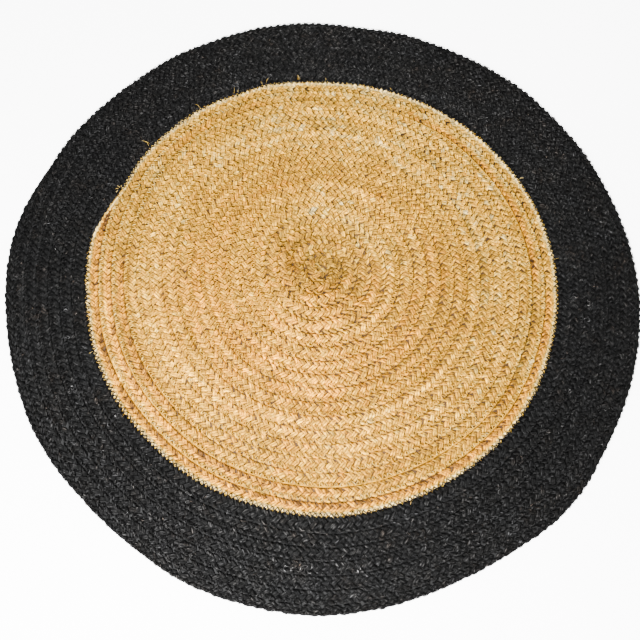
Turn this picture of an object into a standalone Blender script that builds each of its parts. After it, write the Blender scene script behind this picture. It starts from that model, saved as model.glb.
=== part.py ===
"""A round flat rug of braided jute.

One flat four-strand braid of undyed jute is coiled outwards from the middle and sewn edge to
edge. Where it ends, a braid of black-dyed jute is spliced to it and goes on round it as a border.
Each colour is one solid with a flat underside, and each turn of its braid is a raised rib.

Metres, +Z up, the floor at Z = 0. The origin is the middle of the rug's underside. Bearings are
degrees counter-clockwise from +X, seen from above. The coil winds outwards clockwise: "travel" is
the angle in degrees gone along it from the eye, and a turn is counted from the bearing COUNT_FROM.
"""

import math

import bmesh
import bpy
import numpy as np

# Thickness
CROWN_HEIGHT = 0.010  # the top of a turn of braid
GROOVE_HEIGHT = 0.007  # the sewn groove between two turns
EDGE_HEIGHT = 0.005  # the widest point of the rug's rounded rim
FOOT_INSET = 0.003  # how far the underside stays inside the rim
SHOULDER = 0.28  # the flat crown starts this share of a turn's width from its grooves
SEAM_GAP = 0.0003  # between the two coils

# The groove outside each turn: (turns from the eye, mean radius)
TURN_RADII = (
    (0, 0.0),
    (9, 0.227),
    (18, 0.449),
    (19, 0.4745),
    (24, 0.584),
    (26, 0.616),
)
NATURAL_TURNS = 18
BORDER_TURNS = 7
COUNT_FROM = 228  # bearing where a turn starts

# The coil isn't an even spiral: it stays round and steps outwards in one stretch of each turn.
STEP_FROM, STEP_OVER = 14, 88  # degrees past COUNT_FROM, and degrees long
STEP_SHARE = 0.92  # of a turn's growth
SWELL_AT, SWELL_WIDTH, SWELL_SHARE = 98, 16, 0.12  # a small bulge at the step's end
EVEN_TURNS = 5  # the turns near the eye grow evenly

# Where one braid's tapered end lies along the next one's start, in degrees past COUNT_FROM
SPLICE_FROM, SPLICE_TO = 55, 70

# The eye lies off the middle of the rug, less and less so over these turns.
EYE = (-0.009, 0.008)
EYE_TURNS = 14

# How far each coil's outer edge stands off its spiral: (bearing_deg, offset_mm)
NATURAL_EDGE = (
    (0, -1), (18, 0), (40, -2), (50, 0), (66, -1), (84, -2), (92, -4), (100, 0), (108, 6),
    (116, 0), (126, 4), (136, 2), (148, 4), (156, 1), (174, -2), (192, -3), (206, 1), (228, -3),
    (242, 0), (258, -1), (276, 3), (288, 0), (302, -1), (324, 1), (340, -2),
)
BORDER_EDGE = (
    (0, 4), (24, 1), (31, 4), (39, 1), (48, 5), (66, -1), (77, 1), (84, -5), (97, 4), (108, 4),
    (116, -1), (126, 0), (132, -5), (144, -3), (151, 3), (174, 0), (181, 0), (190, -4), (202, -6),
    (214, -4), (228, -10), (240, -7), (248, 1), (260, 4), (272, 7), (282, 2), (294, -4), (305, -3),
    (317, 7), (330, -2), (342, 0),
)

# How finely each turn is divided: (from turn, degrees a step)
STEPS = ((0, 45.0), (1, 15.0), (4, 10.0), (10, 7.5), (16, 5.0))

NATURAL_COLOUR = (0.62, 0.40, 0.18, 1)
BLACK_COLOUR = (0.018, 0.018, 0.020, 1)
JUTE_ROUGHNESS = 0.85

NATURAL_END = NATURAL_TURNS * 360  # travel where the natural braid's last whole turn ends
BORDER_END = (NATURAL_TURNS + BORDER_TURNS) * 360


def smooth(share):
    share = min(max(share, 0), 1)
    return share * share * (3 - 2 * share)


def growth(turned):
    """The share of a turn's outward growth that is done this many degrees past COUNT_FROM."""
    step = STEP_SHARE * smooth((turned - STEP_FROM) / STEP_OVER)
    even = (1 - STEP_SHARE) * turned / 360
    swell = SWELL_SHARE * math.exp(-(((turned - SWELL_AT) / SWELL_WIDTH) ** 2))
    return step + even + swell


def turns_grown(travel):
    """How many turns out from the eye the groove lies at this travel."""
    whole, turned = divmod(travel, 360)
    uneven = min(travel / (EVEN_TURNS * 360), 1)
    return whole + (1 - uneven) * turned / 360 + uneven * growth(turned)


def bearing_of(travel):
    return (COUNT_FROM - travel) % 360


def edge_offset(table, bearing):
    bearings, offsets_mm = zip(*table)
    return np.interp(bearing, bearings, offsets_mm, period=360) / 1000


def groove_radius(travel):
    turns = turns_grown(travel)
    counts, radii = zip(*TURN_RADII)
    border_share = min(max((turns - NATURAL_TURNS) / BORDER_TURNS, 0), 1)
    natural_share = min(turns / NATURAL_TURNS, 1) ** 4 * (1 - border_share)
    bearing = bearing_of(travel)
    return (
        np.interp(turns, counts, radii)
        + natural_share * edge_offset(NATURAL_EDGE, bearing)
        + border_share * edge_offset(BORDER_EDGE, bearing)
    )


def spliced_radius(travel, end):
    """The edge of a braid whose tapered end runs from its outer groove to its inner one."""
    start, stop = end + SPLICE_FROM, end + SPLICE_TO
    share = (travel - start) / (stop - start)
    return (1 - share) * groove_radius(start) + share * groove_radius(stop - 360)


def outer_radius(travel, end):
    """The outer groove of a coil that ends in a splice after the travel called end."""
    return spliced_radius(travel, end) if travel > end + SPLICE_FROM else groove_radius(travel)


def place(travel, radius, height):
    """The point at a radius about the coil's own middle, which shifts towards the eye."""
    turn = math.radians(bearing_of(travel))
    shift = 1 - smooth(turns_grown(travel) / EYE_TURNS)
    x = radius * math.cos(turn) + EYE[0] * shift
    y = radius * math.sin(turn) + EYE[1] * shift
    return (x, y, height)


def stations(start, stop):
    """The travels at which a coil's cross-section is set out."""
    found = [start]
    while found[-1] < stop:
        step = [degrees for turn, degrees in STEPS if turn * 360 <= found[-1]][-1]
        found.append(min(found[-1] + step, stop))
    return found


def rib_points(bm, travel, inner, outer):
    """The two shoulders of a turn's flat crown, which is lower where the braid tapers."""
    width = outer - inner
    whole_width = groove_radius(NATURAL_END) - groove_radius(NATURAL_END - 360)
    rise = (CROWN_HEIGHT - GROOVE_HEIGHT) * min(width / (whole_width / 2), 1)
    return [
        bm.verts.new(place(travel, inner + share * width, GROOVE_HEIGHT + rise))
        for share in (SHOULDER, 1 - SHOULDER)
    ]


def zip_lines(bm, inner, outer):
    """Fills between two lines of (travel, vertex), stepping along whichever lags behind."""
    i = j = 0
    while i + 1 < len(inner) or j + 1 < len(outer):
        step_inner = j + 1 == len(outer) or (
            i + 1 < len(inner) and inner[i + 1][0] <= outer[j + 1][0]
        )
        new = inner[i + 1][1] if step_inner else outer[j + 1][1]
        corners = [inner[i][1], outer[j][1], new]
        if len(set(corners)) == 3:
            bm.faces.new(corners)
        i, j = (i + 1, j) if step_inner else (i, j + 1)


def fill_ring(bm, first, second):
    """Quads between two closed loops of as many vertices each."""
    for k in range(len(first)):
        n = (k + 1) % len(first)
        bm.faces.new((first[k], first[n], second[n], second[k]))


def lowered(bm, loop, inset=0.0):
    """A copy of a loop on the floor, drawn in towards the middle."""
    found = []
    for vert in loop:
        x, y, _ = vert.co
        keep = 1 - inset / math.hypot(x, y)
        found.append(bm.verts.new((x * keep, y * keep, 0)))
    return found


def make_object(name, bm, colour):
    bmesh.ops.recalc_face_normals(bm, faces=bm.faces)
    mesh = bpy.data.meshes.new(name)
    bm.to_mesh(mesh)
    bm.free()
    mesh.shade_smooth()
    mesh.set_sharp_from_angle(angle=math.radians(40))
    material = bpy.data.materials.new(name)
    material.use_nodes = True
    shader = material.node_tree.nodes["Principled BSDF"]
    shader.inputs["Base Color"].default_value = colour
    shader.inputs["Roughness"].default_value = JUTE_ROUGHNESS
    shader.inputs["Metallic"].default_value = 0.0
    mesh.materials.append(material)
    obj = bpy.data.objects.new(name, mesh)
    bpy.context.scene.collection.objects.link(obj)
    return obj


def natural_braid_coil():
    """The disc: from the eye out to where the natural braid tapers away."""
    bm = bmesh.new()
    stop = NATURAL_END + SPLICE_TO
    rim_from = stop - 360
    centre = bm.verts.new(place(0, 0, GROOVE_HEIGHT))
    grooves = {0: centre}
    low, high = [(0, centre)], [(0, centre)]
    for travel in stations(0, stop)[1:-1]:
        inner = groove_radius(travel - 360) if travel > 360 else 0
        outer = outer_radius(travel, NATURAL_END) - (SEAM_GAP / 2 if travel >= rim_from else 0)
        shoulders = rib_points(bm, travel, inner, outer)
        low.append((travel, shoulders[0]))
        high.append((travel, shoulders[1]))
        grooves[travel] = bm.verts.new(place(travel, outer, GROOVE_HEIGHT))
    tip = (stop, grooves[rim_from])
    outside = list(grooves.items()) + [tip]
    inside = [(0, centre)] + [(t + 360, v) for t, v in grooves.items() if t <= rim_from]
    zip_lines(bm, inside, low + [tip])
    zip_lines(bm, low + [tip], high + [tip])
    zip_lines(bm, high + [tip], outside)
    rim = [vert for travel, vert in grooves.items() if travel >= rim_from]
    foot = lowered(bm, rim)
    fill_ring(bm, rim, foot)
    under = bm.verts.new((centre.co.x, centre.co.y, 0))
    for k, vert in enumerate(foot):
        bm.faces.new((vert, foot[(k + 1) % len(foot)], under))
    return make_object("natural_braid_coil", bm, NATURAL_COLOUR)


def black_braid_coil():
    """The border: from the splice round the disc, out to the rug's rounded rim."""
    bm = bmesh.new()
    start, stop = NATURAL_END + SPLICE_FROM, BORDER_END + SPLICE_TO
    rim_from = stop - 360
    first = bm.verts.new(place(start, groove_radius(start) + SEAM_GAP / 2, GROOVE_HEIGHT))
    grooves = {start: first}
    hole = {}
    low, high = [(start, first)], [(start, first)]
    for travel in stations(start, stop)[1:-1]:
        if travel < start + 360:
            in_splice = travel < NATURAL_END + SPLICE_TO
            beside = spliced_radius(travel, NATURAL_END) if in_splice else groove_radius(travel - 360)
            inner = beside + SEAM_GAP / 2
            hole[travel] = bm.verts.new(place(travel, inner, GROOVE_HEIGHT))
        else:
            inner = groove_radius(travel - 360)
        outer = outer_radius(travel, BORDER_END)
        shoulders = rib_points(bm, travel, inner, outer)
        low.append((travel, shoulders[0]))
        high.append((travel, shoulders[1]))
        height = EDGE_HEIGHT if travel >= rim_from else GROOVE_HEIGHT
        grooves[travel] = bm.verts.new(place(travel, outer, height))
    tip = (stop, grooves[rim_from])
    outside = list(grooves.items()) + [tip]
    inside = [(start, first)] + list(hole.items())
    inside += [(t + 360, v) for t, v in grooves.items() if t <= rim_from]
    zip_lines(bm, inside, low + [tip])
    zip_lines(bm, low + [tip], high + [tip])
    zip_lines(bm, high + [tip], outside)
    rim = [vert for travel, vert in grooves.items() if travel >= rim_from]
    foot = lowered(bm, rim, FOOT_INSET)
    hole_rim = list(hole.values()) + [first]
    hole_foot = lowered(bm, hole_rim)
    fill_ring(bm, rim, foot)
    fill_ring(bm, hole_rim, hole_foot)
    # The two rings start a few stations apart, so the underside is set out from one bearing.
    late = (SPLICE_TO - SPLICE_FROM) // int(STEPS[-1][1]) - 1
    fill_ring(bm, foot, hole_foot[late:] + hole_foot[:late])
    return make_object("black_braid_coil", bm, BLACK_COLOUR)


def main():
    for obj in list(bpy.data.objects):
        bpy.data.objects.remove(obj, do_unlink=True)
    natural_braid_coil()
    black_braid_coil()


main()
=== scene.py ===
"""The looks of the round braided jute rug: its plaited strands, sewing thread and loose fibres.

Metres, +Z up, the floor at Z = 0, the middle of the rug's underside at the origin. Bearings are
degrees counter-clockwise from +X, seen from above. The coil winds outwards clockwise: "travel" is
the angle in degrees gone along it from the eye, and a turn is counted from the bearing COUNT_FROM.
"""

import math

import bpy
import numpy as np
from mathutils import Matrix, Vector
from numpy.random import default_rng


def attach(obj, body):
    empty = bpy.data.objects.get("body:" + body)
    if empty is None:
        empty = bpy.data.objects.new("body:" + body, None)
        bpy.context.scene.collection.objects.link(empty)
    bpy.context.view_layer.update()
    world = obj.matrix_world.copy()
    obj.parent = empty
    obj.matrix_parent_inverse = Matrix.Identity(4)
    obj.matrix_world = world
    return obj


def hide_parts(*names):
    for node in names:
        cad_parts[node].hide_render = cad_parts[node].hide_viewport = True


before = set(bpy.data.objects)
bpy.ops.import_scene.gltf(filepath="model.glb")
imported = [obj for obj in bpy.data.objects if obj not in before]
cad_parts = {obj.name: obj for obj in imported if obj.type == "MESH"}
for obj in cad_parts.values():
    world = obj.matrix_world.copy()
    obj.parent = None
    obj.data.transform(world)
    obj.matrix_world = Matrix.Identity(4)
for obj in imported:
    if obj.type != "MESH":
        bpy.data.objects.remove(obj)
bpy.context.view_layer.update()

MM = 0.001
TURN = 2 * math.pi

# The coil, as in the CAD source
# (turns from the eye, mean radius of the groove outside that turn)
TURN_RADII = ((0, 0.0), (9, 0.227), (18, 0.449), (19, 0.4745), (24, 0.584), (26, 0.616))
NATURAL_TURNS = 18
BORDER_TURNS = 7
COUNT_FROM = 228  # bearing_deg at which each turn begins
# A turn's radius grows mostly in one step, and swells a little past it: degrees into the turn
STEP_FROM, STEP_OVER = 14, 88
STEP_SHARE = 0.92  # of the turn's growth, and the rest is even
SWELL_AT, SWELL_WIDTH, SWELL_SHARE = 98, 16, 0.12
EVEN_TURNS = 5  # from the eye, over which even growth gives way to the step
SPLICE_FROM, SPLICE_TO = 55, 70  # degrees past a braid's last turn, over which its end tapers
EYE = (-0.009, 0.008)
EYE_TURNS = 14  # over which the turns' middle moves from the eye to the rug's middle
EDGE_POWER = 4  # the higher, the fewer turns inside the natural edge follow its offsets
NATURAL_END = NATURAL_TURNS * 360
BORDER_START = NATURAL_END + SPLICE_FROM
BORDER_END = (NATURAL_TURNS + BORDER_TURNS) * 360
# How far each coil's outer edge stands off its spiral: (bearing_deg, offset_mm)
NATURAL_EDGE = (
    (0, -1), (18, 0), (40, -2), (50, 0), (66, -1), (84, -2), (92, -4), (100, 0), (108, 6),
    (116, 0), (126, 4), (136, 2), (148, 4), (156, 1), (174, -2), (192, -3), (206, 1), (228, -3),
    (242, 0), (258, -1), (276, 3), (288, 0), (302, -1), (324, 1), (340, -2),
)
BORDER_EDGE = (
    (0, 4), (24, 1), (31, 4), (39, 1), (48, 5), (66, -1), (77, 1), (84, -5), (97, 4), (108, 4),
    (116, -1), (126, 0), (132, -5), (144, -3), (151, 3), (174, 0), (181, 0), (190, -4), (202, -6),
    (214, -4), (228, -10), (240, -7), (248, 1), (260, 4), (272, 7), (282, 2), (294, -4), (305, -3),
    (317, 7), (330, -2), (342, 0),
)
EDGE_ROUNDING = 2.5  # degrees

# The plait: strands in plain weave across a flat braid
THICK = 0.010
FINE = 0.25  # degrees of travel between the points on which lines are measured
# A strand's cross section, two yarns side by side: (across, through, how much painted shade its
# grooves get), the first two as shares of half its width and thickness
SECTION = (
    (1, 0, 1), (0.54, 1, 0), (0, 0.55, 0.75), (-0.54, 1, 0),
    (-1, 0, 1), (-0.54, -1, 0), (0, -0.55, 0.75), (0.54, -1, 0),
)
STATIONS = 12  # for one strand's way from edge to edge and back
STRANDS = 4
STRAND_THICK = 0.0044
STRAND_SHARE = 0.372  # a strand's width over the braid's
LIFT = 0.0026  # a strand's centre above and below the middle
FOLD_FROM, FOLD_OVER = math.radians(35), math.radians(110)  # of the swing, at each edge
DRAWN_IN = 0.0030  # how far the sewing draws the natural braid's outermost edge in
# How far apart the petals of a column are: (turns from the eye, mm)
PITCHES = (
    (0, 12.0), (7, 12.2), (15, 12.4), (18, 12.9), (19, 12.3), (22, 12.7), (24, 15.0), (26, 15.8),
)
PITCH_DRIFTS = ((0.40, 0.14), (0.22, 0.04))  # (radians of the weave, metres over which it changes)

# A strand's way through the plait
FULL_WIDTH = 0.016  # where a braid is narrower, its strands are thinner
TURN_FLAT = 0.11  # how flat the strand's way is where it turns back
CROSSING_STEEP = 1.6  # how quickly it goes from over to under
THICKER, WIDER, NARROWER = 0.10, 0.11, 0.10  # at crossings, at crossings, and where it turns back
APART_FROM, APART_OVER = 0.36, 0.03  # radius at which the natural turns' grooves open
BORDER_CLOSED = 0.3  # how closed the border's are, from 0 to 1
EDGE_ROOM, CLOSED_ROOM = 0.36, 0.24  # in strands: left at a braid's edge, less where it is closed
DRAWN_FADE, BORDER_FADE = 20, 30  # degrees over which the two edges' overlap begins and ends
RAISED = 0.6 * MM  # of the natural rim's folds
BORDER_REACH = 2.0 * MM  # of the border's innermost folds, under them
STRAND_ENDS = 0.3  # how thick a strand's two ends are
STRAND_GIRTH = 0.020  # round it, for its map
NOISE_APART = 40  # metres of the noise from one strand to the next

# How uneven strands are: how much, and the metres over which that changes
PHASE_DRIFT = (0.12, 0.03)
THICK_DRIFT = (0.05, 0.02)
WIDE_DRIFT = (0.06, 0.017)
SIDE_DRIFT, SIDE_STEP = 0.45 * MM, 0.015
LIFT_DRIFT = (0.22 * MM, 0.019)
ROLL_DRIFT = (0.10, 0.014)
TONE_DRIFT = (0.05, 0.08)
SHADE_DRIFT = (0.07, 0.11)
# The same from petal to petal, and from corner to corner of the section
THICK_LOTS, WIDE_LOTS, TONE_LOTS, SECTION_LOTS = 0.06, 0.07, 0.09, 0.05
SHADE_LOTS, BORDER_SHADE_LOTS = 0.18, 0.32
FOLD_HIDES = 0.45  # how much fainter the strand's grooves are where it folds over


def smooth(share):
    share = np.clip(share, 0, 1)
    return share * share * (3 - 2 * share)


def growth(turned):
    step = STEP_SHARE * smooth((turned - STEP_FROM) / STEP_OVER)
    even = (1 - STEP_SHARE) * turned / 360
    return step + even + SWELL_SHARE * np.exp(-(((turned - SWELL_AT) / SWELL_WIDTH) ** 2))


def turns_grown(travel):
    whole = np.floor(travel / 360)
    turned = travel - 360 * whole
    uneven = np.minimum(travel / (EVEN_TURNS * 360), 1)
    return whole + (1 - uneven) * turned / 360 + uneven * growth(turned)


def bearing_of(travel):
    return (COUNT_FROM - travel) % 360


def rounded(table):
    """The table's offsets at every degree, in metres, with its corners rounded."""
    at = np.arange(360)
    line = np.interp(at, *zip(*table), period=360)
    apart = (at + 180) % 360 - 180
    kernel = np.exp(-((apart / EDGE_ROUNDING) ** 2) / 2)
    kernel /= kernel.sum()
    return np.fft.ifft(np.fft.fft(line) * np.fft.fft(kernel)).real * MM


NATURAL_OFFSETS = rounded(NATURAL_EDGE)
BORDER_OFFSETS = rounded(BORDER_EDGE)


def groove_radius(travel):
    travel = np.maximum(np.asarray(travel, float), 0)
    turns = turns_grown(travel)
    border_share = np.clip((turns - NATURAL_TURNS) / BORDER_TURNS, 0, 1)
    natural_share = np.minimum(turns / NATURAL_TURNS, 1) ** EDGE_POWER * (1 - border_share)
    at, bearing = np.arange(360), bearing_of(travel)
    return (
        np.interp(turns, *zip(*TURN_RADII))
        + natural_share * np.interp(bearing, at, NATURAL_OFFSETS, period=360)
        + border_share * np.interp(bearing, at, BORDER_OFFSETS, period=360)
    )


def spliced_radius(travel, end):
    start, stop = end + SPLICE_FROM, end + SPLICE_TO
    share = (travel - start) / (stop - start)
    return (1 - share) * groove_radius(start) + share * groove_radius(stop - 360)


def edges(travel, start, end):
    """The radii of a braid's inner and outer edges."""
    inner = np.where(travel < 360, 0, groove_radius(travel - 360))
    if start:  # the braid starts beside the taper of the one before
        taper = spliced_radius(travel, start - SPLICE_FROM)
        inner = np.where(travel < start + SPLICE_TO - SPLICE_FROM, taper, inner)
    outer = groove_radius(travel)
    outer = np.where(travel > end + SPLICE_FROM, spliced_radius(travel, end), outer)
    return inner, outer


def place(travel, radius, height):
    """Points at a radius about the coil's own middle, which shifts towards the eye."""
    turn = np.radians(bearing_of(travel))
    shift = 1 - smooth(turns_grown(travel) / EYE_TURNS)
    x = radius * np.cos(turn) + EYE[0] * shift
    y = radius * np.sin(turn) + EYE[1] * shift
    return np.stack([x, y, np.broadcast_to(height, x.shape)], 1)


def spaced(travel, points, step):
    """The travels that divide a line of points into equal steps."""
    gone = run_of(points)
    count = int(gone[-1] / step)
    return np.interp(np.linspace(0, gone[-1], count + 1), gone, travel)


def wander(rng, along, amount, step):
    """Random values at distances along, of about an amount, which change smoothly over a step."""
    knots = rng.normal(size=int(along[-1] / step) + 4)
    at = along / step
    i = at.astype(int)
    f = smooth(at - i)
    return amount * (knots[i] * (1 - f) + knots[i + 1] * f)


def lots(rng, shape):
    """Normal values without the rare large ones."""
    return rng.normal(size=shape).clip(-2, 2)


def unit(v):
    return v / np.maximum(np.linalg.norm(v, axis=-1, keepdims=True), 1e-12)


def ring_frames(points, roll=0.0):
    """Directions across and through a flat strand at each of its points."""
    ahead = unit(np.gradient(points, axis=-2))
    up = np.zeros_like(points)
    up[..., 2] = 1
    up = unit(up - (up * ahead).sum(-1, keepdims=True) * ahead)
    out = np.cross(up, ahead)
    roll = np.asarray(roll)[..., None]
    c, s = np.cos(roll), np.sin(roll)
    return c * out - s * up, c * up + s * out


def run_of(points):
    """The distance gone at each point of a line, or of each of many lines."""
    steps = np.linalg.norm(np.diff(points, axis=-2), axis=-1)
    return np.concatenate([np.zeros(steps.shape[:-1] + (1,)), np.cumsum(steps, -1)], -1)


def ringed(points, side, depth, across, through, path_from=0):
    """Rings round a line's points, no lower than the floor, and what a material's noise goes by."""
    rings = points[..., None, :] + side[..., None] * across[..., None, :]
    rings = rings + depth[..., None] * through[..., None, :]
    rings[..., 2] = np.maximum(rings[..., 2], 0.0)
    path = run_of(points) + path_from
    local = np.stack([np.broadcast_to(path[..., None], side.shape), side, depth], -1)
    return rings, local, path


# What colour the jute has, at a bearing and at a share of its turn's width from the inner edge
NATURAL_SHADES = (
    (0, 0.64), (30, 0.7), (50, 0.75), (80, 0.94), (120, 1.05), (160, 1.15), (200, 1.03), (240, 1.03),
    (280, 1.0), (320, 1.02), (370, 1.04), (390, 0.92), (410, 0.92), (450, 0.95),
)  # (radius_mm, brightness)
NATURAL_TONES = (
    (0, 0.44), (30, 0.4), (50, 0.43), (80, 0.47), (120, 0.43), (160, 0.42), (200, 0.51), (250, 0.49),
    (280, 0.41), (330, 0.34), (390, 0.35), (410, 0.41), (450, 0.41),
)  # (radius_mm, from 0, whitish, over 0.25, straw, 0.5, golden, and 0.75, orange, to 1, brown)
# Painted light: the jute is brighter towards the side the light comes from, and towards and away from
# it than across; its tone there is browner too
PAINTED_LIGHT_SIDE = 248  # bearing_deg at which the jute is brighter and browner
SIDE_PAINTED_LIGHT, SIDES_PAINTED_LIGHT, SIDE_TONE = 0.09, 0.08, 0.11  # towards it, towards and away, and in tone
# (turns in from the outermost, bearing from and to, share of the width from and to, added tone)
NATURAL_BANDS = (
    (0, 0, 360, 0.56, 1.2, -0.2), (1, 0, 360, 0.6, 1.2, -0.09), (0, 162, 360, -0.2, 0.54, 0.36),
    (1, 175, 280, -0.2, 0.52, 0.38), (1, 358, 428, -0.2, 0.5, 0.38), (2, 175, 228, -0.2, 0.55, 0.34),
    (1, 108, 146, -0.2, 1.2, 0.16), (0, 158, 173, -0.2, 1.2, 0.3), (0, 0, 360, 0.68, 1.2, -0.6),
)
# Paler and browner stretches of the braid: (turn from the eye, bearing from and on round the coil to,
# share of the width at its middle, half its width, added tone, brightness)
STRETCHES = (
    (2, 140, 70, 0.4, 0.8, 0, 0.6), (2, 40, 345, 0.8, 0.5, 0, 0.65), (2, 300, 275, 0.7, 0.4, 0.1, 0.85),
    (3, 190, 155, 0.6, 0.5, 0.12, 0.75), (3, 310, 243, 0.6, 0.8, -0.03, 1.28),
    (3, 30, 345, 0.5, 0.8, 0.02, 0.78), (4, 232, 212, 0.8, 0.3, 0, 1.45),
    (4, 180, 95, 0.2, 0.4, 0.04, 0.72), (4, 285, 265, 0.9, 0.3, -0.08, 1.05),
    (5, 225, 180, 0.3, 0.5, 0.05, 0.76), (5, 145, 100, 0.6, 0.7, 0.06, 0.72),
    (5, 15, 325, 0.35, 0.25, 0.1, 1), (5, 295, 240, 0.6, 0.6, -0.02, 1.28),
    (6, 115, 85, 0.7, 0.5, -0.08, 1.08), (6, 335, 245, 0.4, 0.7, -0.05, 1.35),
    (6, 25, 340, 0.85, 0.25, 0.02, 0.7), (7, 75, 40, 0.8, 0.25, 0, 0.68),
    (7, 268, 250, 0.2, 0.25, 0.04, 0.62), (7, 215, 150, 0.8, 0.3, -0.03, 1.22),
    (8, 130, 20, 0.75, 0.14, -0.04, 1.24), (8, 355, 318, 0.3, 0.25, 0.05, 0.82),
    (8, 305, 240, 0.75, 0.25, -0.05, 1.3), (9, 190, 50, 0.2, 0.22, 0.04, 0.8),
    (9, 132, 112, 0.25, 0.35, 0.22, 0.95), (9, 100, 55, 0.75, 0.3, 0.02, 0.66),
    (9, 305, 235, 0.75, 0.25, -0.04, 1.28), (10, 25, 290, 0.2, 0.2, 0.05, 0.84),
    (10, 10, 345, 0.15, 0.3, 0.12, 0.95), (10, 130, 10, 0.75, 0.25, 0.02, 0.76),
    (10, 290, 255, 0.25, 0.3, -0.03, 1.35), (11, 205, 170, 0.55, 0.5, 0.12, 0.82),
    (11, 15, 348, 0.88, 0.16, 0.14, 0.85), (12, 230, 140, 0.5, 0.7, 0.02, 0.9),
    (12, 320, 228, 0.72, 0.26, -0.14, 1.6), (12, 325, 270, 0.25, 0.25, -0.04, 1.15),
    (13, 228, 40, 0.62, 0.2, -0.1, 1.48), (13, 175, 160, 0.2, 0.3, 0.02, 0.65),
    (13, 30, 305, 0.2, 0.28, 0.02, 0.74), (13, 260, 230, 0.3, 0.4, -0.05, 1.25),
    (14, 228, 150, 0.7, 0.28, -0.09, 1.48), (14, 145, 95, 0.68, 0.14, -0.03, 1.22),
    (14, 325, 285, 0.25, 0.3, -0.05, 1.32), (15, 110, 55, 0.65, 0.14, -0.03, 1.24),
    (15, 10, 325, 0.25, 0.3, -0.04, 1.28), (15, 55, 355, 0.8, 0.25, 0.02, 0.82),
    (16, 335, 240, 0.65, 0.16, -0.04, 1.1), (16, 228, 150, 0.8, 0.35, 0.05, 0.64),
    (16, 60, 345, 0.8, 0.25, 0.02, 0.72), (16, 330, 190, 0.5, 0.6, 0.03, 0.9),
    (17, 200, 60, 0.12, 0.18, 0.03, 0.84), (17, 229, 190, 0.35, 0.45, -0.02, 1.35),
    (18, 176, 150, 0.5, 0.6, 0.06, 0.78), (18, 140, 50, 0.5, 0.6, -0.06, 0.84),
    (17, 10, 325, 0.25, 0.25, 0.06, 0.84), (18, 10, 325, 0.25, 0.25, -0.04, 1.16),
)
BAND_FADE, BAND_SOFT = 5, 0.08  # degrees, and share of the width, over which a band begins
STRETCH_FADE = 10  # degrees
RIM_PALER, RIM_FROM, RIM_OVER = 0.35, 0.66, 0.14  # brighter by, from and over a share of the width
# Painted shade in the groove between two turns: how dark, and over what share of the width
TURN_GROOVE_SHADE, SEAM_SHARE = 0.22, 0.07  # of the darker groove between turns
# Uneven rows: degrees long, rows in a turn's width, and how strong in each braid
STREAK_LENGTH, STREAKS_ACROSS, STREAK_DEPTH, BLACK_STREAK_DEPTH = 26, 6, 0.18, 0.20
# Spots: (x_mm, y_mm, half width_mm, added tone, brightness)
NATURAL_SPOTS = (
    (87, -215, 8, 0.16, 0.85), (144, -113, 8, 0.14, 0.88), (-254, -159, 6, 0.14, 0.9),
    (-231, -37, 8, 0.26, 0.78), (223, 12, 8, 0.24, 0.8), (272, 45, 8, 0.22, 0.8),
    (165, 375, 9, 0.2, 0.85), (-260, 58, 5, 0.25, 0.6), (-256, -277, 6, 0.25, 0.55),
    (-202, -359, 6, 0.25, 0.6), (107, 177, 6, 0.25, 0.62), (-130, -398, 5, 0.2, 0.6),
)


def row_streaks(travel, share):
    """Random values that run along the braid in rows, which are separate at its two edges."""
    size = (int(travel.max() / STREAK_LENGTH) + 2, STREAKS_ACROSS + 1)
    knots = default_rng(51).normal(size=size)
    i, j = travel / STREAK_LENGTH, np.clip(share, 0, 0.999) * STREAKS_ACROSS
    i0, j0 = i.astype(int), j.astype(int)
    f, g = smooth(i - i0), smooth(j - j0)
    near = knots[i0, j0] * (1 - g) + knots[i0, j0 + 1] * g
    far = knots[i0 + 1, j0] * (1 - g) + knots[i0 + 1, j0 + 1] * g
    return near * (1 - f) + far * f


def jute_colour(travel, share, radius, bearing, end):
    """Tone and brightness of natural jute."""
    # painted light by bearing, and a browner tone on the lit side
    side = np.radians(bearing - PAINTED_LIGHT_SIDE)
    shade = np.interp(radius / MM, *zip(*NATURAL_SHADES))
    shade = shade * (1 + SIDE_PAINTED_LIGHT * np.cos(side) + SIDES_PAINTED_LIGHT * np.cos(2 * side))
    tone = np.interp(radius / MM, *zip(*NATURAL_TONES)) + SIDE_TONE * np.cos(side)
    turn_in = np.floor((end + SPLICE_TO - travel) / 360)
    for turn, first, last, low, high, amount in NATURAL_BANDS:
        past = (bearing - first) % 360
        within = 1
        if last - first < 360:
            within = smooth(past / BAND_FADE) * smooth((last - first - past) / BAND_FADE)
        across = smooth((share - low) / BAND_SOFT) * smooth((high - share) / BAND_SOFT)
        tone = tone + amount * (turn_in == turn) * within * across
    shade = shade * (1 + RIM_PALER * (turn_in == 0) * smooth((share - RIM_FROM) / RIM_OVER))
    for turn, first, last, middle, half, amount, bright in STRETCHES:
        past = travel - (turn - 1) * 360 - (COUNT_FROM - first) % 360
        left = (first - last) % 360 - past
        near = smooth(past / STRETCH_FADE + 0.5) * smooth(left / STRETCH_FADE + 0.5)
        near = near * np.exp(-(((share - middle) / half) ** 2))
        tone, shade = tone + amount * near, shade * bright**near
    shade = shade * np.exp(STREAK_DEPTH * row_streaks(travel, share))
    # painted shade in the groove between turns
    to_edge = np.minimum(share, 1 - share)
    shade = shade * (1 - TURN_GROOVE_SHADE * np.exp(-((to_edge / SEAM_SHARE) ** 2)))
    x, y = np.moveaxis(polar(bearing, radius), -1, 0) / MM
    for spot_x, spot_y, size, amount, dim in NATURAL_SPOTS:
        near = np.exp(-((x - spot_x) ** 2 + (y - spot_y) ** 2) / size**2)
        tone, shade = tone + amount * near, shade * (1 - (1 - dim) * near)
    return tone, shade


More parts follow.
